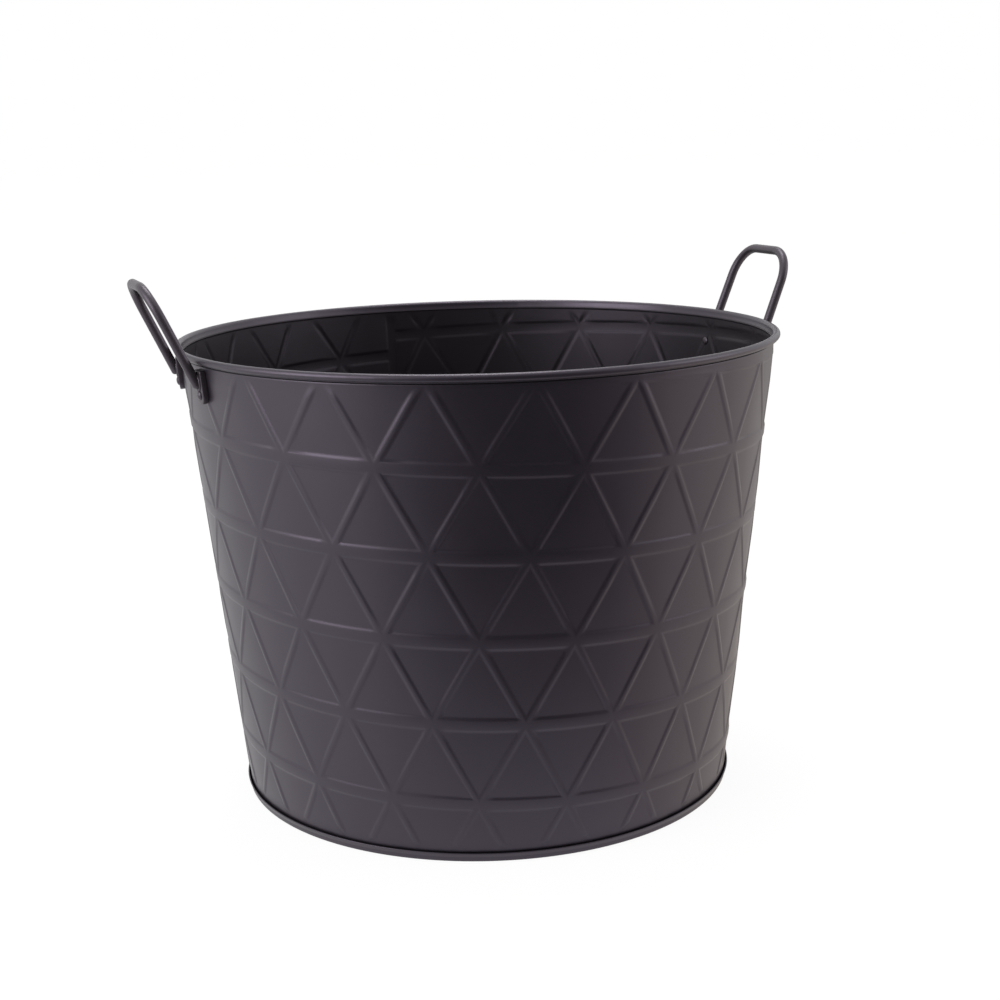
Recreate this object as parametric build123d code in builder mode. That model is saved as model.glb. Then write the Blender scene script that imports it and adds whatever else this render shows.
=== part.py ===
from itertools import product
from math import asin, atan, ceil, cos, degrees, floor, radians, sin, tan
import os

from build123d import *

# Log bucket, millimetres, +Z up. The origin is the centre of the base, on the floor.
# The handles stand at +X and -X, and the side seam of the wall is at +Y.

# Bucket
height = 345.0
rim_diameter = 452.0
base_diameter = 374.0
sheet = 1.2

# Rim, rolled outward round a wire
wire_diameter = 2.8
wire_clearance = 0.3
curl_turn = 290.0

# Base pan, whose edge is folded up round the foot of the wall
pan_rise = 6.0
hem_height = 9.0
fold_clearance = 0.1
fold_radius = 0.6

# Embossed ridges, on a lattice of triangles that is a little out of true: its rows sink by
# step_sink in each half column, and each row stands row_turn degrees behind the one above
ridge_height = 1.1
level_width = 8.4
slant_width = 4.2
rim_margin = 5.0
hem_margin = 2.5
panel_press = 0.05
row_pitch = 59.4
lattice_drop = 5.4
lattice_azimuth = -100.9
half_step = 9.15
step_sink = 1.08
row_turn = 0.46
cut_share = 0.7

# Side seam, a strip as high as the ridges, where the two ends of the sheet meet
seam_width = 8.0
seam_azimuth = 90.0

# Handles, each a round rod bent to a loop that leans outward
rod_diameter = 6.0
foot_span = 79.2
grip_span = 76.2
bend_radius = 24.3
loop_length = 73.0
nose_drop = 18.3
nose_radius = 2.4
weld_depth = 1.2
handle_azimuths = {"right": 0.0, "left": 180.0}
handle_leans = {"right": 21.5, "left": 24.5}

# Tabs that carry the ends of the rods on the wall
tab_width = 13.0
tab_length = 24.0
tab_thickness = 4.0
tab_drop = 9.0
tab_corner_radius = 1.5
tab_edge_radius = 0.6
seat_clearance = 0.05

# Rivets, one through each tab and the wall
rivet_diameter = 4.0
rivet_clearance = 0.05
head_diameter = 6.6
head_height = 1.7
tail_diameter = 6.2
tail_height = 1.2

# Cuts run this far past what they cut
overrun = 12.0

# Sizes that follow from those above
curl_inner = wire_diameter / 2 + wire_clearance
curl_outer = curl_inner + sheet
curl_z = height - curl_outer
wall_foot = sheet + fold_clearance
base_radius = base_diameter / 2
top_radius = rim_diameter / 2 - curl_outer - curl_inner
flare = atan((top_radius - base_radius) / curl_z)
sheet_across = sheet / cos(flare)
fold_across = fold_clearance / cos(flare)
ridge_across = ridge_height / cos(flare)
ridge_low = hem_height + hem_margin
ridge_high = height - 2 * curl_outer - rim_margin
press_low = ridge_low - hem_margin / 2
press_high = ridge_high + rim_margin / 2
lattice_z = height - lattice_drop
sheet_ends = {-1: seam_azimuth - 360, 1: seam_azimuth}
first_step = floor((sheet_ends[-1] - lattice_azimuth) / half_step)
last_step = ceil((sheet_ends[1] - lattice_azimuth) / half_step)
rows = range(-1, ceil((lattice_z - ridge_low) / row_pitch) + 1)
rod_radius = rod_diameter / 2
nose_z = height - nose_drop
tab_straight = tab_length - tab_width / 2
rivet_z = height - tab_drop - tab_straight * cos(flare)


def wall_radius(z):
    """The radius of the wall's plain outer face, at height z."""
    return base_radius + z * tan(flare)


def wall_plane(azimuth, z, standoff=0.0):
    """A plane that touches the wall there, or stands off it: X level, Y up, Z outward."""
    turn = radians(azimuth)
    outward = Vector(cos(flare) * cos(turn), cos(flare) * sin(turn), -sin(flare))
    point = Vector(wall_radius(z) * cos(turn), wall_radius(z) * sin(turn), z)
    level = Vector(-sin(turn), cos(turn), 0)
    return Plane(point + outward * standoff, x_dir=level, z_dir=outward)


def lattice_turn(steps, row):
    """The azimuth of a node of the lattice."""
    return lattice_azimuth + steps * half_step - row * row_turn


def lattice_node(steps, row):
    """A node of the lattice, as a point on the wall's plain outer face."""
    z = lattice_z - row * row_pitch - steps * step_sink
    return wall_plane(lattice_turn(steps, row), z).origin


def panel_sketches():
    """The panels between the ridges."""
    panels = []
    for row, steps in product(rows, range(first_step, last_step + 1)):
        tip_row, base_row = (row, row + 1)
        if (row + steps) % 2:
            tip_row, base_row = (row + 1, row)
        nodes = [
            lattice_node(steps, tip_row),
            lattice_node(steps - 1, base_row),
            lattice_node(steps + 1, base_row),
        ]
        lowest = min(node.Z for node in nodes)
        highest = max(node.Z for node in nodes)
        turn = lattice_turn(steps, row)
        over = {side: side * (turn - end) / half_step for side, end in sheet_ends.items()}
        if max(over.values()) > cut_share:
            continue
        if lowest > press_high - level_width or highest < press_low + level_width:
            continue
        cell_plane = wall_plane(turn, (lowest + highest) / 2)
        corners = [cell_plane.to_local_coords(node) for node in nodes]
        tip, left, right = [(corner.X, corner.Y) for corner in corners]
        with BuildSketch(cell_plane) as panel:
            with BuildLine():
                Polyline(tip, left, right, close=True)
            make_face()
            offset(amount=-slant_width / 2, kind=Kind.INTERSECTION)
            with BuildLine():
                Line(left, right)
            trace(line_width=level_width, mode=Mode.SUBTRACT)
            # A panel that reaches over the end of the sheet stops there
            for side, end in sheet_ends.items():
                if over[side] > -1:
                    end_x = wall_radius(cell_plane.origin.Z) * sin(radians(end - turn))
                    with Locations((end_x + side * row_pitch, 0)):
                        Rectangle(2 * row_pitch, 4 * row_pitch, mode=Mode.SUBTRACT)
        panels.append(panel.sketch)
    return panels


def dome(diameter, rise):
    """A cap of a sphere, flat side down."""
    sphere_radius = (diameter ** 2 / 4 + rise ** 2) / (2 * rise)
    latitude = degrees(asin((sphere_radius - rise) / sphere_radius))
    Sphere(sphere_radius, arc_size1=latitude, align=(Align.CENTER, Align.CENTER, Align.MIN))


# The nose of each rod lies on its tab, so the tabs stand where the feet of the loop come
nose_standoff = seat_clearance + tab_thickness + rod_radius - weld_depth
foot_radius = wall_radius(nose_z) + nose_standoff / cos(flare)
tab_angle = degrees(asin(foot_span / 2 / foot_radius))
foot_x = foot_radius * cos(radians(tab_angle))
tab_azimuths = {
    "right_front_tab": handle_azimuths["right"] - tab_angle,
    "right_back_tab": handle_azimuths["right"] + tab_angle,
    "left_front_tab": handle_azimuths["left"] + tab_angle,
    "left_back_tab": handle_azimuths["left"] - tab_angle,
}
rivet_feet = [wall_plane(azimuth, rivet_z) for azimuth in tab_azimuths.values()]

os.makedirs("parts", exist_ok=True)

# What is taken off a thick wall: the panels between the ridges, the places where the tabs
# press the ridges flat, and the rivet holes
with BuildPart() as pressed:
    add(panel_sketches())
    extrude(amount=overrun, both=True)
    with BuildSketch(wall_plane(seam_azimuth, height / 2)):
        Rectangle(seam_width, 2 * height)
    extrude(amount=overrun, both=True, mode=Mode.SUBTRACT)
    with BuildSketch(*rivet_feet):
        Circle(tab_width / 2)
        Rectangle(tab_width, tab_straight, align=(Align.CENTER, Align.MIN))
    extrude(amount=overrun, both=True)
    # Only what lies outside the panels goes, between the foot and the rim
    with BuildSketch(Plane.XZ):
        with BuildLine():
            Polyline(
                (wall_radius(press_low) - panel_press, press_low),
                (wall_radius(press_low) + overrun, press_low),
                (wall_radius(press_high) + overrun, press_high),
                (wall_radius(press_high) - panel_press, press_high),
                close=True,
            )
        make_face()
    revolve(axis=Axis.Z, mode=Mode.INTERSECT)
    with BuildSketch(*rivet_feet):
        Circle(rivet_diameter / 2 + rivet_clearance)
    extrude(amount=overrun, both=True)

# Wall: one sheet rolled to a cone, with its top edge curled outward for the wire
with BuildPart() as rolled_sheet:
    curl_centre = (top_radius + curl_inner / cos(flare), curl_z)
    curl_start = 180 - degrees(flare)
    with BuildSketch(Plane.XZ):
        with BuildLine():
            outer_curl = CenterArc(curl_centre, curl_outer, curl_start, -curl_turn)
            inner_curl = CenterArc(curl_centre, curl_inner, curl_start, -curl_turn)
            Line(outer_curl @ 1, inner_curl @ 1)
            Polyline(
                inner_curl @ 0,
                (wall_radius(ridge_high), ridge_high),
                (wall_radius(ridge_high) + ridge_across, ridge_high),
                (wall_radius(ridge_low) + ridge_across, ridge_low),
                (wall_radius(ridge_low), ridge_low),
                (wall_radius(wall_foot), wall_foot),
                (wall_radius(wall_foot) - sheet_across, wall_foot),
                outer_curl @ 0,
            )
        make_face()
    revolve(axis=Axis.Z)
    add(pressed.part, mode=Mode.SUBTRACT)

# Chips of the ridge band that the panels cut loose below the rim are left out
with BuildPart() as bucket_wall:
    add(rolled_sheet.solids().sort_by(SortBy.VOLUME)[-1])
bucket_wall.part.label = "bucket_wall"
export_step(bucket_wall.part, "parts/bucket_wall.step")

# Rim wire, which stiffens the rolled edge from inside
with BuildPart() as rim_wire:
    with Locations((0, 0, curl_z)):
        Torus(top_radius + curl_inner / cos(flare), wire_diameter / 2)
rim_wire.part.label = "rim_wire"
export_step(rim_wire.part, "parts/rim_wire.step")

# Base pan: a raised floor, a flange down the inside of the wall and a hem up its outside
with BuildPart() as base_pan:
    with BuildSketch(Plane.XZ):
        flange = -sheet_across - fold_across
        hem = fold_across + sheet_across
        with BuildLine():
            Polyline(
                (0, pan_rise),
                (wall_radius(pan_rise) + flange - sheet_across, pan_rise),
                (base_radius + flange - sheet_across, 0),
                (base_radius + hem, 0),
                (wall_radius(hem_height) + hem, hem_height),
                (wall_radius(hem_height) + fold_across, hem_height),
                (wall_radius(sheet) + fold_across, sheet),
                (wall_radius(sheet) + flange, sheet),
                (wall_radius(pan_rise + sheet) + flange, pan_rise + sheet),
                (0, pan_rise + sheet),
                close=True,
            )
        make_face()
        fillet(vertices().group_by(Axis.Y)[0], fold_radius)
    revolve(axis=Axis.Z)
base_pan.part.label = "base_pan"
export_step(base_pan.part, "parts/base_pan.step")

# Tabs: a flat plate with a round foot, riveted through the foot
tabs = {}
for tab_name, azimuth in tab_azimuths.items():
    with BuildPart() as tab:
        seat = wall_plane(azimuth, rivet_z, seat_clearance)
        with BuildSketch(seat):
            Circle(tab_width / 2)
            Rectangle(tab_width, tab_straight, align=(Align.CENTER, Align.MIN))
            fillet(vertices().sort_by(Axis.Y)[-2:], tab_corner_radius)
        extrude(amount=tab_thickness)
        face = tab.faces().sort_by(Axis(seat.origin, seat.z_dir))[-1]
        fillet(face.edges(), tab_edge_radius)
        with Locations(seat):
            Hole(rivet_diameter / 2 + rivet_clearance)
    tab.part.label = tab_name
    export_step(tab.part, f"parts/{tab_name}.step")
    tabs[tab_name] = tab.part

# Rivets: a shank with a domed head on the tab and a domed tail inside the wall
with BuildPart() as tab_rivets:
    for azimuth in tab_azimuths.values():
        tail_plane = wall_plane(azimuth, rivet_z, -sheet - seat_clearance)
        head_plane = wall_plane(azimuth, rivet_z, seat_clearance + tab_thickness)
        with BuildSketch(tail_plane):
            Circle(rivet_diameter / 2)
        extrude(amount=tab_thickness + sheet + 2 * seat_clearance)
        with Locations(head_plane):
            dome(head_diameter, head_height)
        with Locations(-tail_plane):
            dome(tail_diameter, tail_height)
tab_rivets.part.label = "tab_rivets"
export_step(tab_rivets.part, "parts/tab_rivets.step")

# Handles: a round rod bent to a loop, its noses ground flat where they are welded to the tabs
for side, azimuth in handle_azimuths.items():
    lean = radians(handle_leans[side])
    out = Vector(cos(radians(azimuth)), sin(radians(azimuth)), 0)
    level = Vector(-sin(radians(azimuth)), cos(radians(azimuth)), 0)
    loop_plane = Plane(
        out * foot_x + Vector(0, 0, nose_z),
        x_dir=level,
        z_dir=out * cos(lean) - Vector(0, 0, sin(lean)),
    )
    with BuildPart() as handle:
        with BuildLine(loop_plane) as loop:
            FilletPolyline(
                (-foot_span / 2, -rod_radius),
                (-grip_span / 2, loop_length),
                (grip_span / 2, loop_length),
                (foot_span / 2, -rod_radius),
                radius=bend_radius,
            )
        with BuildSketch(Plane(loop.line @ 0, z_dir=loop.line % 0)):
            Circle(rod_radius)
        sweep()
        noses = handle.faces().sort_by(Axis.Z)[:2]
        fillet(noses.edges(), nose_radius)
        for tab_name in tabs:
            if tab_name.startswith(side):
                add(tabs[tab_name], mode=Mode.SUBTRACT)
    handle.part.label = f"{side}_handle"
    export_step(handle.part, f"parts/{side}_handle.step")
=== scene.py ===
import math
import bmesh
import bpy
from mathutils import Matrix, Vector, noise


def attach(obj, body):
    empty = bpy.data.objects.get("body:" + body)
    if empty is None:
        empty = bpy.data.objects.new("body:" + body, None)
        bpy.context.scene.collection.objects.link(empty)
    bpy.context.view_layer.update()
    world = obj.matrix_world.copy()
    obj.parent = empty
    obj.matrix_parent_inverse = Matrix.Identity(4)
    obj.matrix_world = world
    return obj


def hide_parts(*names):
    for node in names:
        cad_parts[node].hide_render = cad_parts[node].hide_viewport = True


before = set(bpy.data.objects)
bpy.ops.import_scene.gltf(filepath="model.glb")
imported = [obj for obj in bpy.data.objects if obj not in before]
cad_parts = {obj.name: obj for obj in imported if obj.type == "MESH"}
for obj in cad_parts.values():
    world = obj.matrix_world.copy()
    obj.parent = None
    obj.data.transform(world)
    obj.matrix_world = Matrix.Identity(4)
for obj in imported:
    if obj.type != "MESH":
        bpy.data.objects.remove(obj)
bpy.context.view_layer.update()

# Log bucket in metres: base on the floor, handles at +X and -X, side seam at +Y.
# Work is done in edit mode on one piece at a time, as it would be by hand.

tiny = 1e-6  # places closer together than this are one place


def putDown():
    if bpy.context.object and bpy.context.object.mode != "OBJECT":
        bpy.ops.object.mode_set(mode="OBJECT")
    bpy.ops.object.select_all(action="DESELECT")


def pickUp(piece, editing=True):
    putDown()
    piece.select_set(True)
    bpy.context.view_layer.objects.active = piece
    if editing:
        bpy.ops.object.mode_set(mode="EDIT")


def named(name):
    piece = bpy.context.object
    piece.name = name
    piece.data.name = name
    return piece


def applyPlace(piece):
    pickUp(piece, editing=False)
    bpy.ops.object.transform_apply(location=True, rotation=True, scale=True)


def selectAll(kind=None):
    if kind:
        bpy.ops.mesh.select_mode(type=kind)
    bpy.ops.mesh.select_all(action="SELECT")


# kind is VERT, EDGE or FACE; wanted says which of them to select
def pick(piece, kind, wanted):
    bpy.ops.mesh.select_mode(type=kind)
    bpy.ops.mesh.select_all(action="DESELECT")
    mesh = bmesh.from_edit_mesh(piece.data)
    for part in {"VERT": mesh.verts, "EDGE": mesh.edges, "FACE": mesh.faces}[kind]:
        if wanted(part):
            part.select_set(True)
    mesh.select_flush_mode()
    bmesh.update_edit_mesh(piece.data)


def middle(edge):
    return (edge.verts[0].co + edge.verts[1].co) / 2


# The open edges that lie at one place along an axis: 0, 1 or 2 for X, Y or Z
def pickOpenEdges(piece, axis, place):
    pick(piece, "EDGE", lambda e: e.is_boundary and abs(middle(e)[axis] - place) < tiny)


def cut(place, direction, clearOuter=False):
    selectAll()
    bpy.ops.mesh.bisect(
        plane_co=place, plane_no=direction, clear_outer=clearOuter, threshold=tiny / 10
    )


def extrudeEdges(move):
    bpy.ops.mesh.extrude_edges_move(TRANSFORM_OT_translate={"value": move})


def extrudeFaces(move, steps=1):
    step = Vector(move) / steps
    for _ in range(steps):
        bpy.ops.mesh.extrude_region_move(TRANSFORM_OT_translate={"value": step})


# In a background run, spin turns clockwise seen from the tip of its axis
def bendAround(centre, angle, axis, steps):
    bpy.ops.mesh.spin(steps=steps, angle=angle, center=centre, axis=axis)


def stretch(value, centre=(0, 0, 0)):
    bpy.ops.transform.resize(value=value, center_override=centre)


def bevel(offset, segments):
    bpy.ops.mesh.bevel(offset=offset, segments=segments, affect="EDGES")


def joinDoubles():
    selectAll()
    bpy.ops.mesh.remove_doubles(threshold=tiny)
    bpy.ops.mesh.normals_make_consistent(inside=False)


# Takes a piece to its place and shades it smooth up to an angle
def settle(piece, placed=None, angle=40):
    putDown()
    if placed is not None:
        piece.data.transform(placed)
    pickUp(piece)
    joinDoubles()
    pickUp(piece, editing=False)
    bpy.ops.object.shade_smooth_by_angle(angle=math.radians(angle))
    putDown()


def copyOf(piece, name):
    double = piece.copy()
    double.data = piece.data.copy()
    double.name = name
    double.data.name = name
    bpy.context.collection.objects.link(double)
    return double


def joined(parts, name):
    putDown()
    for part in parts:
        part.select_set(True)
    bpy.context.view_layer.objects.active = parts[0]
    bpy.ops.object.join()
    whole = named(name)
    putDown()
    return whole


# The bucket's own shape, which every piece on the wall goes by
bucket = {
    "height": 0.345,
    "rimRadius": 0.226,
    "footRadius": 0.187,
    "sheet": 0.0012,
    "wireHole": 0.0015,  # radius inside the curl
    "curlTurn": 290,
}
curlOuter = bucket["wireHole"] + bucket["sheet"]
curlZ = bucket["height"] - curlOuter
topRadius = bucket["rimRadius"] - curlOuter - bucket["wireHole"]
flare = math.atan((topRadius - bucket["footRadius"]) / curlZ)


# A height as a distance up the slope of the wall
def upSlope(z):
    return z / math.cos(flare)


# A place on the wall: azimuth in radians, distance up the slope, distance outward
def wallPoint(azimuth, along, out):
    radius = bucket["footRadius"] + along * math.sin(flare) + out * math.cos(flare)
    z = along * math.cos(flare) - out * math.sin(flare)
    return Vector((radius * math.cos(azimuth), radius * math.sin(azimuth), z))


# A frame that stands on the wall: X level, Y up the slope, Z outward
def wallFrame(azimuth, along, out):
    upright = Matrix.Rotation(math.pi / 2 + flare, 4, "X")
    turn = Matrix.Rotation(azimuth + math.pi / 2, 4, "Z") @ upright
    return Matrix.Translation(wallPoint(azimuth, along, out)) @ turn


# The view of the photograph
photoView = {
    "turn": -20.3,  # degrees round the bucket
    "distance": 1.234,
    "height": 0.4934,
    "yaw": 0.0116,  # these three in radians
    "pitch": 0.2233,
    "roll": -0.0227,
    "lens": 58.87,
    "sensor": 36,
    "clip": (0.05, 50),
}


def addCamera():
    yaw, pitch, roll = (photoView[key] for key in ("yaw", "pitch", "roll"))
    level = math.cos(pitch)
    ahead = Vector((math.sin(yaw) * level, math.cos(yaw) * level, -math.sin(pitch)))
    right = Vector((math.cos(yaw), -math.sin(yaw), 0))
    up = right.cross(ahead)
    rolledRight = math.cos(roll) * right + math.sin(roll) * up
    rolledUp = -math.sin(roll) * right + math.cos(roll) * up
    facing = Matrix((rolledRight, rolledUp, -ahead)).transposed().to_4x4()
    stand = Matrix.Translation((0, -photoView["distance"], photoView["height"]))
    turn = Matrix.Rotation(math.radians(photoView["turn"]), 4, "Z")
    bpy.ops.object.camera_add()
    camera = named("photoCamera")
    camera.matrix_world = turn @ stand @ facing
    camera.data.sensor_width = photoView["sensor"]
    camera.data.lens = photoView["lens"]
    camera.data.clip_start, camera.data.clip_end = photoView["clip"]
    bpy.context.scene.camera = camera


putDown()
addCamera()
print("camera placed")

# The wall, drawn flat and then rolled up
wallSheet = {
    "ridgeHeight": 0.00068,
    "slantTop": 0.0006,  # half the flat top of a slanted ridge
    "levelExtra": 0.0024,  # a level ridge is this much wider on each side
    "flankWidth": 0.0029,
    "flankSteps": (0.156, 0.344, 0.344, 0.156),  # each step's share of the height
    "panelEdge": 0.0006,  # a narrow band round each panel, which keeps its middle flat
    "halfStep": 9.15,  # the lattice: half a column, in degrees
    "rowPitch": 0.0594,
    "azimuth": -100.9,
    "drop": 0.0054,
    "stepSink": 0.00108,  # the rows wind down by this much for each half column
    "rowTurn": 0.46,
    "columns": 26,
    "firstColumn": -13,
    "rows": 7,
    "rollRadius": 0.2045,  # the flat sheet is as wide as this circle is long
    "low": 0.0092,  # the ridges reach from here
    "lowFade": 0.0050,
    "high": 0.3368,  # to here, and sink into the wall over these lengths
    "highFade": 0.0095,
    "fadeCuts": 5,
    "seamHalf": 0.0040,
    "seamGap": 0.0003,  # left between the two upright edges, and bridged
    "seamReach": 0.0004,  # an open edge this near to X = 0 is at the seam
    "foot": 0.0014,
    "bend": 4.575,  # degrees between the cuts that let the sheet bend, half a step
    "bendShift": 0.9,  # keeps them clear of the places where ridges meet
    "curlSteps": 16,
    "creases": ((0.3378, 0.3387), (0.0063, 0.0072)),  # under the curl and behind the hem, where the faces get painted shade
    "creaseDepth": 0.0003,
    "creaseReach": 0.2225,  # the curl is farther from the axis
    "curlLow": 0.3394,
    "smoothAngle": 38,
}
seamX = math.pi * wallSheet["rollRadius"]
stripX = seamX - wallSheet["seamHalf"] - wallSheet["flankWidth"] / 2
lowY, highY = upSlope(wallSheet["low"]), upSlope(wallSheet["high"])


def latticePoint(steps, row):
    ws = wallSheet
    turn = ws["azimuth"] + steps * ws["halfStep"] - row * ws["rowTurn"] + 90
    z = bucket["height"] - ws["drop"] - row * ws["rowPitch"] - steps * ws["stepSink"]
    return math.radians(turn) * ws["rollRadius"], upSlope(z)


# A grid laid flat, each second row moved on by half a column, then cut into triangles
def drawLattice():
    ws = wallSheet
    bpy.ops.mesh.primitive_grid_add(
        x_subdivisions=ws["columns"], y_subdivisions=ws["rows"], size=2
    )
    wall = named("embossedWall")
    pickUp(wall)
    mesh = bmesh.from_edit_mesh(wall.data)
    lowX = min(v.co.x for v in mesh.verts)
    stepX = 2 / ws["columns"]
    stepY = 2 / ws["rows"]
    for vertex in mesh.verts:
        column = round((vertex.co.x - lowX) / stepX) + ws["firstColumn"]
        row = round((1 - vertex.co.y) / stepY) - 1
        x, y = latticePoint(2 * column + row % 2, row)
        vertex.co = (x, y, ws["ridgeHeight"])
    bmesh.update_edit_mesh(wall.data)
    selectAll()
    bpy.ops.mesh.quads_convert_to_tris(quad_method="SHORTEST_DIAGONAL")
    return wall


# The panels are drawn in from the ridges, more so from the level ones, then let down in steps
def pressPanels(wall):
    ws = wallSheet
    selectAll("FACE")
    bpy.ops.mesh.inset(thickness=ws["slantTop"], depth=0, use_individual=True)
    mesh = bmesh.from_edit_mesh(wall.data)
    for face in [face for face in mesh.faces if face.select]:
        low, mid, high = sorted(face.verts, key=lambda v: v.co.y)
        tip = high if high.co.y - mid.co.y > mid.co.y - low.co.y else low
        base = [corner for corner in face.verts if corner is not tip]
        reach = abs(sum(corner.co.y for corner in base) / 2 - tip.co.y)
        for corner in base:
            corner.co = tip.co + (corner.co - tip.co) * (1 - ws["levelExtra"] / reach)
    bmesh.update_edit_mesh(wall.data)
    for share in ws["flankSteps"]:
        bpy.ops.mesh.inset(
            thickness=ws["flankWidth"] / len(ws["flankSteps"]),
            depth=-share * ws["ridgeHeight"],
            use_individual=True,
        )
    bpy.ops.mesh.inset(thickness=ws["panelEdge"], depth=0, use_individual=True)


# Trimmed to the sheet, then cut upright so that it can bend
def trimSheet():
    ws = wallSheet
    cut((0, highY, 0), (0, 1, 0), clearOuter=True)
    cut((0, lowY, 0), (0, -1, 0), clearOuter=True)
    cut((stripX, 0, 0), (1, 0, 0), clearOuter=True)
    cut((-stripX, 0, 0), (-1, 0, 0), clearOuter=True)
    cuts = round(360 / ws["bend"])
    for index in range(-cuts, cuts):
        turn = ws["azimuth"] + 90 + ws["bendShift"] + index * ws["bend"]
        x = math.radians(turn) * ws["rollRadius"]
        if abs(x) < stripX:
            cut((x, 0, 0), (1, 0, 0))


# The two upright edges rise to the seam strip
def raiseSeam(wall):
    ws = wallSheet
    for side in (1, -1):
        pickOpenEdges(wall, 0, side * stripX)
        left = 1.0
        for share in ws["flankSteps"]:
            extrudeEdges((side * ws["flankWidth"] / len(ws["flankSteps"]), 0, 0))
            ratio = (left - share) / left if left - share > tiny else 0
            stretch((1, 1, ratio), (0, 0, ws["ridgeHeight"]))
            left -= share
        reach = seamX - ws["seamGap"] - stripX - ws["flankWidth"]
        extrudeEdges((side * reach, 0, 0))


# Above and below, the ridges sink into the plain wall
def sinkRidges(wall):
    ws = wallSheet
    for edgeY, inward, fade in ((highY, -1, ws["highFade"]), (lowY, 1, ws["lowFade"])):
        for index in range(1, ws["fadeCuts"] + 1):
            cut((0, edgeY + inward * fade * index / ws["fadeCuts"], 0), (0, 1, 0))
        mesh = bmesh.from_edit_mesh(wall.data)
        for vertex in mesh.verts:
            share = max(0, min(1, (vertex.co.y - edgeY) * inward / fade))
            vertex.co.z *= share * share * (3 - 2 * share)
        bmesh.update_edit_mesh(wall.data)


# The foot goes down into the hem, and the top curls round the wire
def addFootAndCurl(wall):
    ws = wallSheet
    pickOpenEdges(wall, 1, lowY)
    lastY = lowY
    for z in (*reversed(ws["creases"][1]), ws["foot"]):
        extrudeEdges((0, upSlope(z) - lastY, 0))
        lastY = upSlope(z)
    pickOpenEdges(wall, 1, highY)
    startY = upSlope(curlZ)
    creaseLow, creaseHigh = (upSlope(z) for z in ws["creases"][0])
    halfCrease = (creaseHigh - creaseLow) / 2
    extrudeEdges((0, creaseLow - highY, 0))
    extrudeEdges((0, halfCrease, -ws["creaseDepth"]))
    extrudeEdges((0, halfCrease, ws["creaseDepth"]))
    extrudeEdges((0, startY - creaseHigh, 0))
    curl = math.radians(bucket["curlTurn"])
    bendAround((0, startY, bucket["wireHole"]), curl, (-1, 0, 0), ws["curlSteps"])


def atSeam(edge):
    near = all(abs(v.co.x) < wallSheet["seamReach"] for v in edge.verts)
    sameSide = edge.verts[0].co.x * edge.verts[1].co.x > 0
    return edge.is_boundary and middle(edge).y > 0 and near and sameSide


# The flat sheet is rolled up and its seam closed
def rollUp(wall):
    putDown()
    for vertex in wall.data.vertices:
        across, along, out = vertex.co
        vertex.co = wallPoint(across / wallSheet["rollRadius"] - math.pi / 2, along, out)
    pickUp(wall)
    pick(wall, "EDGE", atSeam)
    bpy.ops.mesh.bridge_edge_loops()
    joinDoubles()
    # An open sheet has no inside of its own, so it is turned here to face outward
    faces = bmesh.from_edit_mesh(wall.data).faces
    lowest = min(faces, key=lambda f: f.calc_center_median().z)
    if lowest.normal.xy.dot(lowest.calc_center_median().xy) < 0:
        bpy.ops.mesh.flip_normals()


def thickenSheet(wall):
    pickUp(wall, editing=False)
    thicken = wall.modifiers.new("sheet", "SOLIDIFY")
    thicken.thickness = bucket["sheet"]
    thicken.offset = -1
    thicken.use_even_offset = True
    bpy.ops.object.modifier_apply(modifier=thicken.name)
    bpy.ops.object.shade_smooth_by_angle(angle=math.radians(wallSheet["smoothAngle"]))
    putDown()


wall = drawLattice()
pressPanels(wall)
trimSheet()
raiseSeam(wall)
sinkRidges(wall)
addFootAndCurl(wall)
rollUp(wall)
thickenSheet(wall)
print("wall made,", len(wall.data.polygons), "faces")

# The base pan and its hem round the foot of the wall
panFold = {
    "around": 180,
    "middleRadius": 0.05,
    "middleInset": 0.02,
    "floorRadius": 0.120,
    "floorTop": 0.0072,
    "floorUnder": 0.0060,
    "clear": 0.0001,
    "flareInside": 0.0040,  # from these heights up the hem leaves the wall
    "flareOutside": 0.0036,
    "hemTop": 0.0069,
    "hemFlare": 0.0013,  # the lip of the hem stands off the wall by this much more
    "lipShare": 0.95,  # of the sheet's thickness
    "lipDrop": 0.0001,
    "cornerSteps": 5,
    "rounds": {
        "floor": 0.0009,
        "fold": 0.0003,
        "flareInside": 0.0030,
        "flareOutside": 0.0020,
        "lip": 0.00045,
        "foot": 0.0015,
    },
}


# Draws a ring through the points of a profile, each a radius and a height
def drawRing(piece, profile):
    pickUp(piece)
    selectAll("EDGE")
    for (radius, z), (nextRadius, nextZ) in zip(profile, profile[1:]):
        extrudeEdges((0, 0, nextZ - z))
        ratio = nextRadius / radius
        stretch((ratio, ratio, 1))


# The points of a rounded corner of a profile
def rounded(corner, before, after, radius):
    steps = panFold["cornerSteps"]
    point = Vector(corner)
    inward = (Vector(before) - point).normalized()
    outward = (Vector(after) - point).normalized()
    half = inward.angle(outward) / 2
    run = radius / math.tan(half)
    centre = point + (inward + outward).normalized() * radius / math.sin(half)
    start, end = point + inward * run - centre, point + outward * run - centre
    swing = start.angle_signed(end)
    turns = [Matrix.Rotation(-swing * step / steps, 2) for step in range(steps + 1)]
    return [tuple(centre + turn @ start) for turn in turns]


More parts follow.
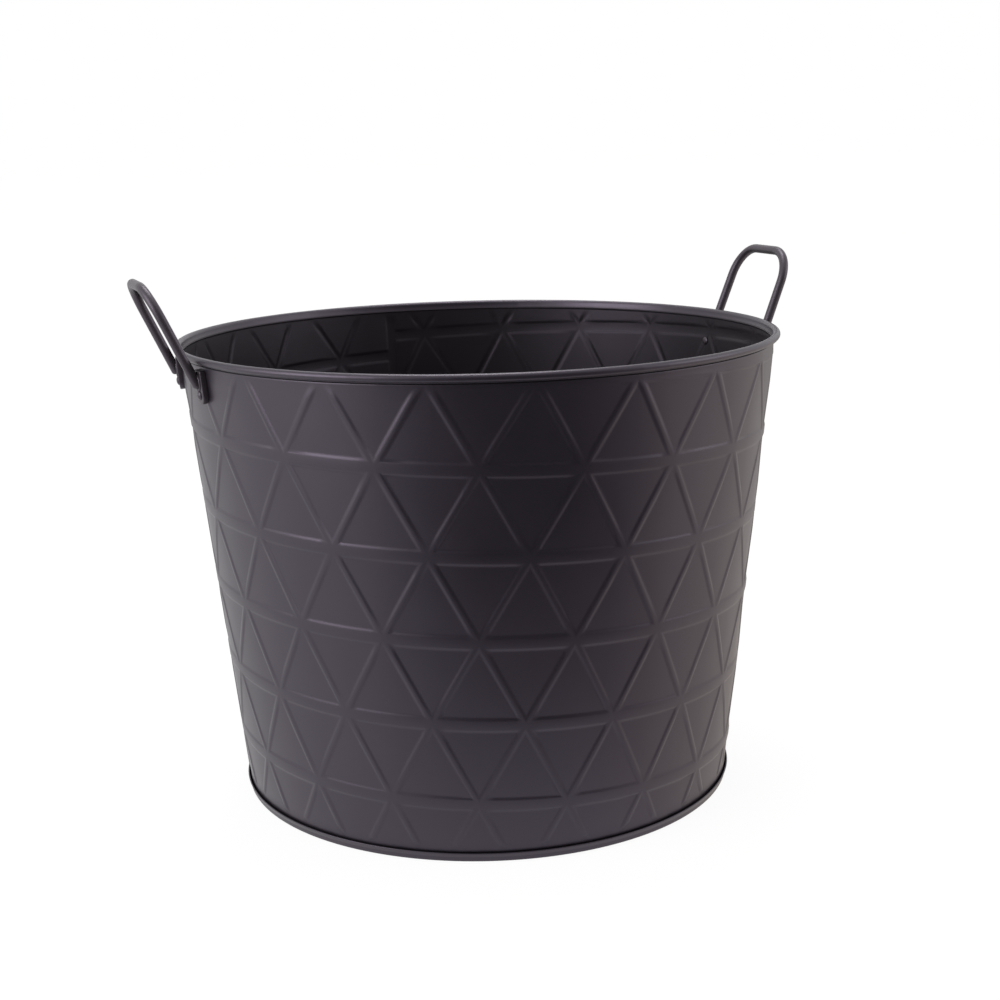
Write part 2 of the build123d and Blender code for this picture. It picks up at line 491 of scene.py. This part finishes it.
# The profile runs from the middle of the floor down inside the wall, under its foot,
# up to the lip of the hem and back along the underside
def panProfile():
    pf = panFold
    rounds = pf["rounds"]
    sheet, foot = bucket["sheet"], bucket["footRadius"]
    across, clear = sheet / math.cos(flare), pf["clear"] / math.cos(flare)

    def inside(z):
        return foot + z * math.tan(flare) - across - clear

    def outside(z):
        return foot + z * math.tan(flare) + clear

    hemLip = outside(pf["hemTop"]) + pf["hemFlare"]
    corners = [
        ((inside(pf["floorTop"]), pf["floorTop"]), rounds["floor"]),
        ((inside(sheet), sheet), rounds["fold"]),
        ((outside(sheet), sheet), rounds["fold"]),
        ((outside(pf["flareInside"]), pf["flareInside"]), rounds["flareInside"]),
        ((hemLip, pf["hemTop"]), rounds["lip"]),
        ((hemLip + across * pf["lipShare"], pf["hemTop"] - pf["lipDrop"]), rounds["lip"]),
        ((outside(pf["flareOutside"]) + across, pf["flareOutside"]), rounds["flareOutside"]),
        ((foot + clear + across, 0), rounds["foot"]),
        ((foot - 2 * across - clear, 0), rounds["foot"]),
        ((inside(pf["floorUnder"]) - across, pf["floorUnder"]), rounds["fold"]),
    ]
    start, end = (pf["middleRadius"], pf["floorTop"]), (pf["middleRadius"], pf["floorUnder"])
    spine = [start] + [corner for corner, _ in corners] + [end]
    profile = [start, (pf["floorRadius"], pf["floorTop"])]
    for index, (corner, radius) in enumerate(corners):
        profile += rounded(corner, spine[index], spine[index + 2], radius)
    return profile + [(pf["floorRadius"], pf["floorUnder"]), end]


def makePan():
    pf = panFold
    bpy.ops.mesh.primitive_circle_add(
        vertices=pf["around"], radius=pf["middleRadius"], location=(0, 0, pf["floorTop"])
    )
    pan = named("foldedPan")
    applyPlace(pan)
    drawRing(pan, panProfile())
    # Close the two middles
    for z in (pf["floorTop"], pf["floorUnder"]):
        pickOpenEdges(pan, 2, z)
        bpy.ops.mesh.edge_face_add()
        bpy.ops.mesh.inset(thickness=pf["middleInset"], depth=0)
        bpy.ops.mesh.inset(thickness=pf["middleInset"], depth=0)
    settle(pan, angle=35)
    return pan


pan = makePan()
print("pan made,", len(pan.data.polygons), "faces")

# The handles, and the tabs that their places go by
handleLoop = {
    "rod": 0.0034,
    "around": 28,
    "footSpan": 0.0792,
    "gripSpan": 0.0762,
    "length": 0.0725,
    "bend": 0.0243,
    "legSteps": 6,
    "bendSteps": 18,
    "gripSteps": 4,
    "noseDrop": 0.0183,
    "noseRound": 0.0024,
    "sink": 0.0022,  # the rod lies this deep in its tab
}
handleSides = {"right": (0, 21.5), "left": (180, 24.5)}  # azimuth and lean, in degrees
tabPlate = {
    "width": 0.0130,
    "length": 0.0240,
    "thick": 0.0040,
    "drop": 0.0090,
    "roundShare": 0.999,  # just short of a full half circle
    "topCorner": 0.0015,
    "softEdge": 0.0007,
    "backEdge": 0.0003,
    "seat": 0.00005,
}
noseZ = bucket["height"] - handleLoop["noseDrop"]
standoff = tabPlate["seat"] + tabPlate["thick"] + handleLoop["rod"] - handleLoop["sink"]
noseRadius = bucket["footRadius"] + noseZ * math.tan(flare) + standoff / math.cos(flare)
tabAngle = math.asin(handleLoop["footSpan"] / 2 / noseRadius)
footX = noseRadius * math.cos(tabAngle)
tabStraight = tabPlate["length"] - tabPlate["width"] / 2
rivetZ = bucket["height"] - tabPlate["drop"] - tabStraight * math.cos(flare)


# Drawn flat, with the grip at +Y, as one rod that is bent twice
def drawLoop(name):
    hl = handleLoop
    foot, grip = hl["footSpan"] / 2, hl["gripSpan"] / 2
    start, corner = Vector((-foot, -hl["rod"], 0)), Vector((-grip, hl["length"], 0))
    leg = (corner - start).normalized()
    turn = math.atan2(leg.y, leg.x)  # from the leg to the grip
    run = hl["bend"] * math.tan(turn / 2)
    legLength = (corner - start).length - run
    firstBend = start + leg * legLength + Vector((leg.y, -leg.x, 0)) * hl["bend"]
    secondBend = (grip - run, hl["length"] - hl["bend"], 0)
    bpy.ops.mesh.primitive_circle_add(
        vertices=hl["around"],
        radius=hl["rod"],
        fill_type="NGON",
        location=start,
        rotation=(math.pi / 2, 0, turn - math.pi / 2),
    )
    handle = named(name)
    applyPlace(handle)
    pickUp(handle)
    selectAll("FACE")
    extrudeFaces(leg * legLength, hl["legSteps"])
    bendAround(firstBend, turn, (0, 0, 1), hl["bendSteps"])
    extrudeFaces((2 * (grip - run), 0, 0), hl["gripSteps"])
    bendAround(secondBend, turn, (0, 0, 1), hl["bendSteps"])
    extrudeFaces(Vector((leg.x, -leg.y, 0)) * legLength, hl["legSteps"])
    return handle


def atNose(edge):
    return any(len(f.verts) > 4 for f in edge.link_faces) and middle(edge).y < 0


def makeHandle(side, azimuth, lean):
    handle = drawLoop(side + "Handle")
    pick(handle, "EDGE", atNose)
    bevel(handleLoop["noseRound"], segments=5)
    out = Vector((math.cos(azimuth), math.sin(azimuth), 0))
    level = Vector((-math.sin(azimuth), math.cos(azimuth), 0))
    facing = out * math.cos(lean) - Vector((0, 0, math.sin(lean)))
    placed = Matrix((level, facing.cross(level), facing)).transposed().to_4x4()
    placed.translation = out * footX + Vector((0, 0, noseZ))
    settle(handle, placed, angle=50)
    return handle


handles = {
    side: makeHandle(side, math.radians(azimuth), math.radians(lean))
    for side, (azimuth, lean) in handleSides.items()
}
print("handles made")

# Azimuths of the tabs, each with a rivet and a weld
tabTurns = {
    "rightFrontTab": -tabAngle,
    "rightBackTab": tabAngle,
    "leftFrontTab": math.pi + tabAngle,
    "leftBackTab": math.pi - tabAngle,
}


# X level, Y up, Z outward, with the rivet at the origin
def makeTab():
    tp = tabPlate
    half = tp["width"] / 2
    bpy.ops.mesh.primitive_cube_add(
        size=1, location=(0, (tabStraight - half) / 2, tp["thick"] / 2)
    )
    tab = named("tabPlate")
    tab.scale = (tp["width"], tabStraight + half, tp["thick"])
    applyPlace(tab)
    pickUp(tab)

    def across(edge):
        return abs(edge.verts[0].co.z - edge.verts[1].co.z) > tp["thick"] / 4

    pick(tab, "EDGE", lambda e: across(e) and middle(e).y < 0)
    bevel(half * tp["roundShare"], segments=12)
    pick(tab, "EDGE", lambda e: across(e) and middle(e).y > tabStraight - tiny)
    bevel(tp["topCorner"], segments=5)
    for side, edge, segments in ((1, tp["softEdge"], 4), (-1, tp["backEdge"], 2)):
        pick(tab, "FACE", lambda f: f.normal.z * side > 0.9)
        bpy.ops.mesh.region_to_loop()
        bevel(edge, segments)
    settle(tab)
    return tab


# The steps of a dome are how far each is drawn in and how far it rises
rivetParts = {
    "head": 0.0033,
    "headSteps": ((0.00018, 0.00028), (0.00042, 0.00042), (0.0007, 0.0004), (0.0009, 0.0003)),
    "headEdge": 0.0003,
    "tail": 0.0031,
    "tailSteps": ((0.0002, 0.0002), (0.0007, 0.0003), (0.0009, 0.0002)),
    "tailEdge": 0.0004,
    "shank": 0.0020,
    "neck": 0.0001,  # the end of the shank is drawn in by this before it widens
    "neckRise": 0.00002,
    "around": 28,
}


def makeRivet():
    rp = rivetParts
    depth = tabPlate["thick"] + bucket["sheet"] + tabPlate["seat"]
    bpy.ops.mesh.primitive_cylinder_add(vertices=rp["around"], radius=rp["shank"], depth=depth)
    rivet = named("rivet")
    pickUp(rivet)
    selectAll()
    bpy.ops.transform.translate(value=(0, 0, tabPlate["thick"] + tabPlate["seat"] - depth / 2))
    for side, end in ((1, "head"), (-1, "tail")):
        pick(rivet, "FACE", lambda f: f.normal.z * side > 0.9)
        # A flange, then a dome drawn in step by step
        bpy.ops.mesh.inset(thickness=rp["neck"], depth=0)
        extrudeFaces((0, 0, side * rp["neckRise"]))
        ratio = rp[end] / (rp["shank"] - rp["neck"])
        stretch((ratio, ratio, 1))
        extrudeFaces((0, 0, side * rp[end + "Edge"]))
        for inward, rise in rp[end + "Steps"]:
            bpy.ops.mesh.inset(thickness=inward, depth=rise)
    settle(rivet, angle=45)
    return rivet


weldBead = {
    "across": 0.0033,
    "up": 0.0046,
    "thick": 0.0011,
    "flatten": 0.8,
    "ripple": 0.00018,
    "ripples": 34,
    "uneven": 0.0002,
    "unevenSize": 900,
    "lift": 0.0006,  # above the rod's nose
}


# A bead round the foot of the rod, on the face of the tab
def makeWeld():
    wb = weldBead
    bpy.ops.mesh.primitive_torus_add(
        major_radius=wb["across"], minor_radius=wb["thick"], major_segments=96, minor_segments=12
    )
    weld = named("weld")
    pickUp(weld)
    selectAll()
    stretch((1, wb["up"] / wb["across"], wb["flatten"]))
    mesh = bmesh.from_edit_mesh(weld.data)
    for vertex in mesh.verts:
        turn = math.atan2(vertex.co.y, vertex.co.x)
        swell = abs(math.sin(turn * wb["ripples"] / 2)) * wb["ripple"]
        unevenness = wb["uneven"] * noise.noise(vertex.co * wb["unevenSize"])
        vertex.co += vertex.normal * (swell + unevenness)
    bmesh.update_edit_mesh(weld.data)
    settle(weld, angle=60)
    return weld


tabModel, rivetModel, weldModel = makeTab(), makeRivet(), makeWeld()
weldUp = upSlope(noseZ - rivetZ) + weldBead["lift"]
tabs, rivets, welds = {}, {}, {}
for name, turn in tabTurns.items():
    for store, model, suffix, up, out in (
        (tabs, tabModel, "", 0, tabPlate["seat"]),
        (rivets, rivetModel, "Rivet", 0, 0),
        (welds, weldModel, "Weld", weldUp, tabPlate["thick"]),
    ):
        store[name] = copyOf(model, name + suffix)
        store[name].data.transform(wallFrame(turn, upSlope(rivetZ) + up, out))
for model in (tabModel, rivetModel, weldModel):
    bpy.data.objects.remove(model)

rivetSet = joined(list(rivets.values()), "rivetSet")
weldSet = joined(list(welds.values()), "weldSet")
print("tabs, rivets and welds made")


# Helpers for shader nodes
def addNode(tree, kind, place, **values):
    item = tree.nodes.new(kind)
    item.location = place
    for key, value in values.items():
        setattr(item, key, value)
    return item


def fill(node, **values):
    for key, value in values.items():
        node.inputs[key].default_value = value


def linkAll(tree, *pairs):
    for source, target in pairs:
        tree.links.new(source, target)


coatSurface = {
    "driftDetail": 5,
    "driftRoughness": 0.6,
    "peelDetail": 2,
    "wavesScale": 14,
    "wavesDetail": 1,
    "roughShift": -0.03,
}


# Powder coat: a tone that drifts over the sheet, fine orange peel and a broad unevenness
def makeCoatGroup():
    cs = coatSurface
    tree = bpy.data.node_groups.new("powderCoatSurface", "ShaderNodeTree")
    sockets = (
        ("darkTone", "INPUT", "NodeSocketColor", (0.010, 0.009, 0.011, 1)),
        ("paleTone", "INPUT", "NodeSocketColor", (0.018, 0.016, 0.019, 1)),
        ("driftSize", "INPUT", "NodeSocketFloat", 9.0),
        ("peelSize", "INPUT", "NodeSocketFloat", 900.0),
        ("smoothness", "INPUT", "NodeSocketFloat", 0.36),
        ("roughSpread", "INPUT", "NodeSocketFloat", 0.08),
        ("tone", "OUTPUT", "NodeSocketColor", None),
        ("roughness", "OUTPUT", "NodeSocketFloat", None),
        ("peel", "OUTPUT", "NodeSocketFloat", None),
        ("waves", "OUTPUT", "NodeSocketFloat", None),
    )
    for name, way, kind, value in sockets:
        socket = tree.interface.new_socket(name=name, in_out=way, socket_type=kind)
        if value is not None:
            socket.default_value = value
    given = addNode(tree, "NodeGroupInput", (-900, 0)).outputs
    taken = addNode(tree, "NodeGroupOutput", (700, 0)).inputs
    place = addNode(tree, "ShaderNodeTexCoord", (-900, -300)).outputs["Object"]
    drift = addNode(tree, "ShaderNodeTexNoise", (-600, 250))
    peel = addNode(tree, "ShaderNodeTexNoise", (-600, -50))
    waves = addNode(tree, "ShaderNodeTexNoise", (-600, -350))
    fill(drift, Detail=cs["driftDetail"], Roughness=cs["driftRoughness"])
    fill(peel, Detail=cs["peelDetail"])
    fill(waves, Scale=cs["wavesScale"], Detail=cs["wavesDetail"])
    blend = addNode(tree, "ShaderNodeMix", (-100, 300), data_type="RGBA")
    spread = addNode(tree, "ShaderNodeMath", (-300, 60), operation="MULTIPLY_ADD")
    spread.inputs[2].default_value = cs["roughShift"]
    rough = addNode(tree, "ShaderNodeMath", (-100, 60), operation="ADD")
    linkAll(
        tree,
        (place, drift.inputs["Vector"]),
        (place, peel.inputs["Vector"]),
        (place, waves.inputs["Vector"]),
        (given["driftSize"], drift.inputs["Scale"]),
        (given["peelSize"], peel.inputs["Scale"]),
        (drift.outputs["Fac"], blend.inputs["Factor"]),
        (given["darkTone"], blend.inputs["A"]),
        (given["paleTone"], blend.inputs["B"]),
        (drift.outputs["Fac"], spread.inputs[0]),
        (given["roughSpread"], spread.inputs[1]),
        (spread.outputs[0], rough.inputs[0]),
        (given["smoothness"], rough.inputs[1]),
        (blend.outputs["Result"], taken["tone"]),
        (rough.outputs[0], taken["roughness"]),
        (peel.outputs["Fac"], taken["peel"]),
        (waves.outputs["Fac"], taken["waves"]),
    )
    return tree


coatGroup = makeCoatGroup()
coatTint = (0.93, 0.80, 1.0, 1)
coats = {
    "wallCoat": {
        "darkTone": (0.0048, 0.0038, 0.0060, 1),
        "paleTone": (0.0096, 0.0074, 0.0110, 1),
        "driftSize": 9,
        "peelSize": 850,
        "smoothness": 0.37,
        "roughSpread": 0.10,
        "specular": 0.75,
        "peelDepth": 0.00003,
        "waveDepth": 0.0009,
    },
    # Painted shade: the inside of the wall is a darker, less glossy copy of the wall's coat
    "shadedInnerCoat": {
        "darkTone": (0.0040, 0.0034, 0.0042, 1),
        "paleTone": (0.0085, 0.0072, 0.0086, 1),
        "driftSize": 11,
        "peelSize": 850,
        "smoothness": 0.44,
        "roughSpread": 0.16,
        "specular": 0.36,
        "peelDepth": 0.00003,
        "waveDepth": 0.0006,
    },
    # Painted shade: a dark, barely glossy coat for the creases under the curl and behind the hem
    "paintedCreaseShade": {
        "darkTone": (0.0016, 0.0014, 0.0016, 1),
        "paleTone": (0.0030, 0.0026, 0.0030, 1),
        "driftSize": 20,
        "peelSize": 850,
        "smoothness": 0.60,
        "roughSpread": 0.10,
        "specular": 0.22,
        "peelDepth": 0.00003,
        "waveDepth": 0.0002,
    },
    "panCoat": {
        "darkTone": (0.0050, 0.0042, 0.0056, 1),
        "paleTone": (0.0105, 0.0086, 0.0110, 1),
        "driftSize": 14,
        "peelSize": 850,
        "smoothness": 0.36,
        "roughSpread": 0.12,
        "specular": 0.75,
        "peelDepth": 0.00003,
        "waveDepth": 0.0004,
    },
    # A lighter copy of the powder coat: painted light, brightened for the broad highlight on the
    # rods; the tabs, rivets and welds share it
    "litRodCoat": {
        "darkTone": (0.0115, 0.0095, 0.0108, 1),
        "paleTone": (0.0240, 0.0200, 0.0220, 1),
        "driftSize": 30,
        "peelSize": 1100,
        "smoothness": 0.38,
        "roughSpread": 0.12,
        "specular": 0.70,
        "peelDepth": 0.00006,
        "waveDepth": 0.0001,
    },
}


def makeCoat(name):
    values = coats[name]
    material = bpy.data.materials.new(name)
    material.use_nodes = True
    tree = material.node_tree
    shader = tree.nodes["Principled BSDF"]
    shader.inputs["Specular IOR Level"].default_value = values["specular"]
    shader.inputs["Specular Tint"].default_value = coatTint
    coat = addNode(tree, "ShaderNodeGroup", (-700, 100))
    coat.node_tree = coatGroup
    for key in ("darkTone", "paleTone", "driftSize", "peelSize", "smoothness", "roughSpread"):
        coat.inputs[key].default_value = values[key]
    waves = addNode(tree, "ShaderNodeBump", (-400, -100))
    peel = addNode(tree, "ShaderNodeBump", (-200, -100))
    fill(waves, Distance=values["waveDepth"])
    fill(peel, Distance=values["peelDepth"])
    linkAll(
        tree,
        (coat.outputs["tone"], shader.inputs["Base Color"]),
        (coat.outputs["roughness"], shader.inputs["Roughness"]),
        (coat.outputs["waves"], waves.inputs["Height"]),
        (waves.outputs["Normal"], peel.inputs["Normal"]),
        (coat.outputs["peel"], peel.inputs["Height"]),
        (peel.outputs["Normal"], shader.inputs["Normal"]),
    )
    return material


def paint(piece, *materials):
    piece.data.materials.clear()
    for material in materials:
        piece.data.materials.append(material)


# The inside of the wall gets painted shade, a darker and duller copy of its coat, and its
# creases get darker painted shade still
def markFaces():
    ws = wallSheet
    for face in wall.data.polygons:
        place = face.center
        if place.xy.length > ws["creaseReach"] or place.z > ws["curlLow"]:
            continue
        if face.normal.xy.dot(place.xy) <= 0:
            # painted shade on the inside of the wall
            face.material_index = 1
        elif any(low < place.z < high for low, high in ws["creases"]):
            # painted shade in the creases
            face.material_index = 2


wallCoat, shadedInnerCoat, paintedCreaseShade, panCoat, litRodCoat = (makeCoat(name) for name in coats)
paint(wall, wallCoat, shadedInnerCoat, paintedCreaseShade)
markFaces()
for piece in (pan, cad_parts["rim_wire"]):
    paint(piece, panCoat)
# these pieces get the lighter coat with painted light
for piece in (weldSet, rivetSet, *handles.values(), *tabs.values()):
    paint(piece, litRodCoat)
print("finishes made")

# The CAD node that each piece stands for; all of them ride on the one body
stands = {
    wall: ("bucket_wall",),
    pan: ("base_pan",),
    handles["right"]: ("right_handle",),
    handles["left"]: ("left_handle",),
    tabs["rightFrontTab"]: ("right_front_tab",),
    tabs["rightBackTab"]: ("right_back_tab",),
    tabs["leftFrontTab"]: ("left_front_tab",),
    tabs["leftBackTab"]: ("left_back_tab",),
    rivetSet: ("tab_rivets",),
    weldSet: (),
}
for piece, nodes in stands.items():
    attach(piece, "root")
    if nodes:
        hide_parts(*nodes)

# The floor, the light and the room
studio = {
    "plainLight": 0.94,
    "backdrop": 1.0,
    # The dark sides of the room, which the coat shows: azimuth, how much light is left,
    # the distances over which the floor darkens, and the cosines of the turn from the middle
    "darkSides": (
        (-97, 0.06, (0.12, 0.62), (0.42, 0.95)),
        (66, 0.30, (0.15, 0.70), (0.78, 0.98)),
    ),
    "warmSide": -15,
    "warmReach": (0.2, 1.0),
    "warmTone": (0.92, 0.84, 0.78, 1),
    "floorSize": 40,
    "floorZ": -0.0002,
    "floorTone": 0.97,
    "floorGlow": 0.90,
    "glowStrength": 1.012,  # brings the floor to the white of the backdrop
    "lampAim": (0, 0, 0.18),
    # name, place, size and power
    "lamps": (
        ("leftLamp", (-2.3, -0.4, 1.0), 1.6, 34),
        ("rightLamp", (2.0, -0.9, 0.9), 1.3, 8),
        ("topLamp", (0.2, 0.7, 2.3), 1.0, 20),
    ),
}


# How far a place or a direction lies to one side, eased over a reach between two levels
def addSideShare(tree, source, turn, reach, levels, place):
    x, y = place
    azimuth = math.radians(turn)
    toward = addNode(tree, "ShaderNodeVectorMath", place, operation="DOT_PRODUCT")
    toward.inputs[1].default_value = (math.cos(azimuth), math.sin(azimuth), 0)
    share = addNode(tree, "ShaderNodeMapRange", (x + 200, y), interpolation_type="SMOOTHSTEP")
    for socket, value in zip(("From Min", "From Max", "To Min", "To Max"), (*reach, *levels)):
        share.inputs[socket].default_value = value
    linkAll(tree, (source, toward.inputs[0]), (toward.outputs["Value"], share.inputs["Value"]))
    return share.outputs["Result"]


# A white room, which the coat alone sees as darker towards the first dark side
def makeWorld():
    world = bpy.data.worlds.new("studioRoom")
    bpy.context.scene.world = world
    world.use_nodes = True
    tree = world.node_tree
    background = tree.nodes["Background"]
    fill(background, Color=(1, 1, 1, 1))
    place = addNode(tree, "ShaderNodeTexCoord", (-1100, 0)).outputs["Generated"]
    turn, left, _, spread = studio["darkSides"][0]
    shade = addSideShare(tree, place, turn, spread, (1, left), (-900, 0))
    path = addNode(tree, "ShaderNodeLightPath", (-700, 400)).outputs
    seen = addNode(tree, "ShaderNodeMath", (-500, 350), operation="MAXIMUM")
    mirrored = addNode(tree, "ShaderNodeMix", (-400, 100))
    strength = addNode(tree, "ShaderNodeMix", (-200, 200))
    fill(mirrored, A=studio["plainLight"])
    fill(strength, B=studio["backdrop"])
    linkAll(
        tree,
        (shade, mirrored.inputs["B"]),
        (path["Is Glossy Ray"], mirrored.inputs["Factor"]),
        (path["Is Camera Ray"], seen.inputs[0]),
        (path["Is Transmission Ray"], seen.inputs[1]),
        (mirrored.outputs["Result"], strength.inputs["A"]),
        (seen.outputs[0], strength.inputs["Factor"]),
        (strength.outputs["Result"], background.inputs["Strength"]),
    )


# What the coat shows of the floor: white, dark towards the dark sides and warm at the right
def addMirroredFloor(tree):
    place = addNode(tree, "ShaderNodeNewGeometry", (-1400, -300)).outputs["Position"]
    direction = addNode(tree, "ShaderNodeVectorMath", (-1200, -500), operation="NORMALIZE")
    linkAll(tree, (place, direction.inputs[0]))
    heading = direction.outputs["Vector"]
    level = addNode(tree, "ShaderNodeMath", (-400, -300), operation="MULTIPLY")
    for index, (turn, left, distances, spread) in enumerate(studio["darkSides"]):
        y = -300 - 400 * index
        far = addSideShare(tree, place, turn, distances, (0, left - 1), (-1000, y))
        near = addSideShare(tree, heading, turn, spread, (0, 1), (-1000, y - 200))
        shade = addNode(tree, "ShaderNodeMath", (-600, y), operation="MULTIPLY_ADD")
        shade.inputs[2].default_value = 1
        linkAll(
            tree,
            (far, shade.inputs[0]),
            (near, shade.inputs[1]),
            (shade.outputs[0], level.inputs[index]),
        )
    warm = addSideShare(
        tree, heading, studio["warmSide"], studio["warmReach"], (0, 1), (-1000, -1100)
    )
    tint = addNode(tree, "ShaderNodeMix", (-400, -500), data_type="RGBA")
    tint.inputs["A"].default_value = (1, 1, 1, 1)
    tint.inputs["B"].default_value = studio["warmTone"]
    mirrored = addNode(tree, "ShaderNodeEmission", (-200, -300))
    linkAll(
        tree,
        (warm, tint.inputs["Factor"]),
        (tint.outputs["Result"], mirrored.inputs["Color"]),
        (level.outputs[0], mirrored.inputs["Strength"]),
    )
    return mirrored.outputs["Emission"]


# Straight from the camera the floor is matt with a glow, which leaves a soft shadow on white
def makeFloor():
    putDown()
    bpy.ops.mesh.primitive_plane_add(size=studio["floorSize"], location=(0, 0, studio["floorZ"]))
    floor = named("studioFloor")
    material = bpy.data.materials.new("paleFloor")
    material.use_nodes = True
    tree = material.node_tree
    tree.nodes.clear()
    path = addNode(tree, "ShaderNodeLightPath", (-600, 300)).outputs
    matt = addNode(tree, "ShaderNodeBsdfDiffuse", (-200, 100))
    glow = addNode(tree, "ShaderNodeEmission", (-200, -100))
    fill(matt, Color=(studio["floorTone"],) * 3 + (1,))
    fill(glow, Strength=studio["glowStrength"])
    seen = addNode(tree, "ShaderNodeMath", (-200, 300), operation="MULTIPLY")
    seen.inputs[1].default_value = studio["floorGlow"]
    plain = addNode(tree, "ShaderNodeMixShader", (200, 0))
    whole = addNode(tree, "ShaderNodeMixShader", (450, 0))
    out = addNode(tree, "ShaderNodeOutputMaterial", (700, 0))
    linkAll(
        tree,
        (path["Is Camera Ray"], seen.inputs[0]),
        (seen.outputs[0], plain.inputs["Fac"]),
        (matt.outputs["BSDF"], plain.inputs[1]),
        (glow.outputs["Emission"], plain.inputs[2]),
        (path["Is Glossy Ray"], whole.inputs["Fac"]),
        (plain.outputs["Shader"], whole.inputs[1]),
        (addMirroredFloor(tree), whole.inputs[2]),
        (whole.outputs["Shader"], out.inputs["Surface"]),
    )
    floor.data.materials.append(material)


def makeLamps():
    for name, place, size, power in studio["lamps"]:
        bpy.ops.object.light_add(type="AREA", location=place)
        lamp = named(name)
        lamp.data.size = size
        lamp.data.energy = power
        aim = Vector(studio["lampAim"]) - Vector(place)
        lamp.rotation_mode = "QUATERNION"
        lamp.rotation_quaternion = aim.to_track_quat("-Z", "Y")


makeWorld()
makeFloor()
makeLamps()
bpy.context.scene.view_settings.view_transform = "Standard"
print("studio made")
